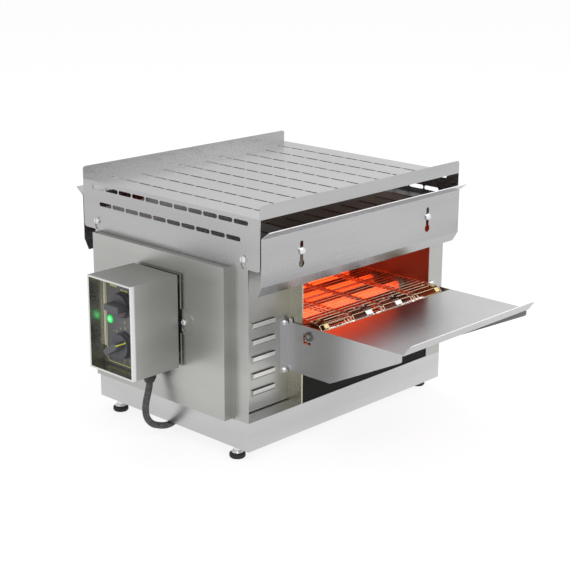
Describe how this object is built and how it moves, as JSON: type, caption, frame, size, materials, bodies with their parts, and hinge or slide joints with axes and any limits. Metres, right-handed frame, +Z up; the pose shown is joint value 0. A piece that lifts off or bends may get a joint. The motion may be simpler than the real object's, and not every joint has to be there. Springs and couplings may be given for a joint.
{
  "type": "conveyor oven",
  "caption": "Countertop conveyor oven with a wire belt running between quartz heating tubes, a vented top cover, sliding hoods, an exit tray and a side control box.",
  "frame": {"origin": "on the surface that the oven stands on, midway between its four feet, under the middle of the base box", "axes": "+X to the right along the front, +Y from the exit side to the loading side, +Z up; the control box is on the -X side and the exit tray on the -Y side"},
  "size_m": [0.5937, 0.67, 0.4125],
  "materials": {
    "brushed_cool": "fine lengthwise brushing, satin",
    "brushed_warm": "fine brushing, satin",
    "galvanised": "dull plain sheet",
    "polished": "polished",
    "heated_steel": "heat-tinted stainless wire, satin",
    "black_enamel": "black vitreous enamel, semi-matt",
    "ceramic": "unglazed ceramic, stood in for by a matt solid",
    "quartz_hot": "opaque white quartz, glowing orange when lit",
    "coil": "resistance wire, glowing",
    "bronze": "turned bronze",
    "dark_steel": "dark oiled steel",
    "motor": "grey paint",
    "fascia": "dark blue-grey paint, satin",
    "knob": "moulded, matt",
    "black_plastic": "moulded, matt",
    "cream_plastic": "moulded, matt",
    "lamp_green": "translucent lens",
    "rubber": "matt",
    "cable": "smooth sheath, satin"
  },
  "bodies": {
    "housing": {"base_chassis": "brushed_cool", "bottom_plate": "galvanised", "left_side_wall": "brushed_warm", "right_side_wall": "brushed_warm", "front_louver_panel": "brushed_warm", "rear_louver_panel": "brushed_warm", "tunnel_left_wall": "brushed_warm", "tunnel_right_wall": "brushed_warm", "heat_deck": "galvanised", "cross_rails": "galvanised", "top_cover": "brushed_cool", "cover_screws": "polished", "left_side_cover": "brushed_warm", "side_cover_screws": "dark_steel", "hood_standoffs": "polished", "hood_screws": "polished", "exit_tray": "brushed_cool", "loading_tray": "brushed_cool", "tray_screws": "polished", "upper_reflector": "galvanised", "lower_reflector": "galvanised", "tube_holders": "ceramic", "upper_tubes": "quartz_hot", "lower_tubes": "quartz_hot", "heating_coils": "coil", "belt_guides": "heated_steel", "wire_belt": "heated_steel", "shaft_bearings": "bronze", "drive_chain": "dark_steel", "gear_motor": "motor", "motor_bracket": "galvanised", "terminal_block": "cream_plastic", "control_box": "brushed_warm", "control_bracket": "brushed_warm", "control_screws": "polished", "control_fascia": "fascia", "selector_switch": "black_plastic", "speed_regulator": "black_plastic", "pilot_lamp": "lamp_green", "cable_gland": "black_plastic", "control_cable": "cable", "base_grommet": "rubber"},
    "front_hood": {"front_hood": "brushed_cool"},
    "rear_hood": {"rear_hood": "brushed_cool"},
    "crumb_tray": {"crumb_tray": "black_enamel"},
    "selector_knob": {"selector_knob": "knob"},
    "speed_knob": {"speed_knob": "knob"},
    "front_drive": {"front_shaft": "polished", "front_sprockets": "polished"},
    "rear_drive": {"rear_shaft": "polished", "rear_sprockets": "polished"},
    "motor_drive": {"motor_sprocket": "dark_steel"},
    "foot_1": {"foot_pad_1": "rubber", "foot_stud_1": "polished"},
    "foot_2": {"foot_pad_2": "rubber", "foot_stud_2": "polished"},
    "foot_3": {"foot_pad_3": "rubber", "foot_stud_3": "polished"},
    "foot_4": {"foot_pad_4": "rubber", "foot_stud_4": "polished"}
  },
  "joints": [
    {"name": "front_hood_slide", "type": "slide", "parent": "housing", "child": "front_hood", "axis": [0, 0, 1], "range_m": [-0.011, 0.018]},
    {"name": "rear_hood_slide", "type": "slide", "parent": "housing", "child": "rear_hood", "axis": [0, 0, 1], "range_m": [-0.011, 0.018]},
    {"name": "crumb_tray_slide", "type": "slide", "parent": "housing", "child": "crumb_tray", "axis": [0, -1, 0], "range_m": [0, 0.3]},
    {"name": "selector_turn", "type": "hinge", "parent": "housing", "child": "selector_knob", "pos_m": [-0.323, 0.005, 0.238], "axis": [-1, 0, 0], "range_deg": [-90, 180]},
    {"name": "speed_turn", "type": "hinge", "parent": "housing", "child": "speed_knob", "pos_m": [-0.323, 0.005, 0.173], "axis": [-1, 0, 0], "range_deg": [-120, 150]},
    {"name": "rear_shaft_spin", "type": "hinge", "parent": "housing", "child": "rear_drive", "pos_m": [0.0409, 0.1445, 0.185], "axis": [1, 0, 0], "continuous": true, "deforming": ["wire_belt", "drive_chain"]},
    {"name": "front_shaft_spin", "type": "hinge", "parent": "housing", "child": "front_drive", "pos_m": [0.0409, -0.1955, 0.185], "axis": [1, 0, 0], "continuous": true},
    {"name": "motor_sprocket_spin", "type": "hinge", "parent": "housing", "child": "motor_drive", "pos_m": [-0.13495, 0.0677, 0.1274], "axis": [1, 0, 0], "continuous": true},
    {"name": "foot_1_screw", "type": "slide", "parent": "housing", "child": "foot_1", "axis": [0, 0, -1], "range_m": [0, 0.01]},
    {"name": "foot_2_screw", "type": "slide", "parent": "housing", "child": "foot_2", "axis": [0, 0, -1], "range_m": [0, 0.01]},
    {"name": "foot_3_screw", "type": "slide", "parent": "housing", "child": "foot_3", "axis": [0, 0, -1], "range_m": [0, 0.01]},
    {"name": "foot_4_screw", "type": "slide", "parent": "housing", "child": "foot_4", "axis": [0, 0, -1], "range_m": [0, 0.01]}
  ],
  "couplings": [
    {"joint": "front_shaft_spin", "follows": "rear_shaft_spin", "ratio": 1},
    {"joint": "motor_sprocket_spin", "follows": "rear_shaft_spin", "ratio": 1}
  ]
}
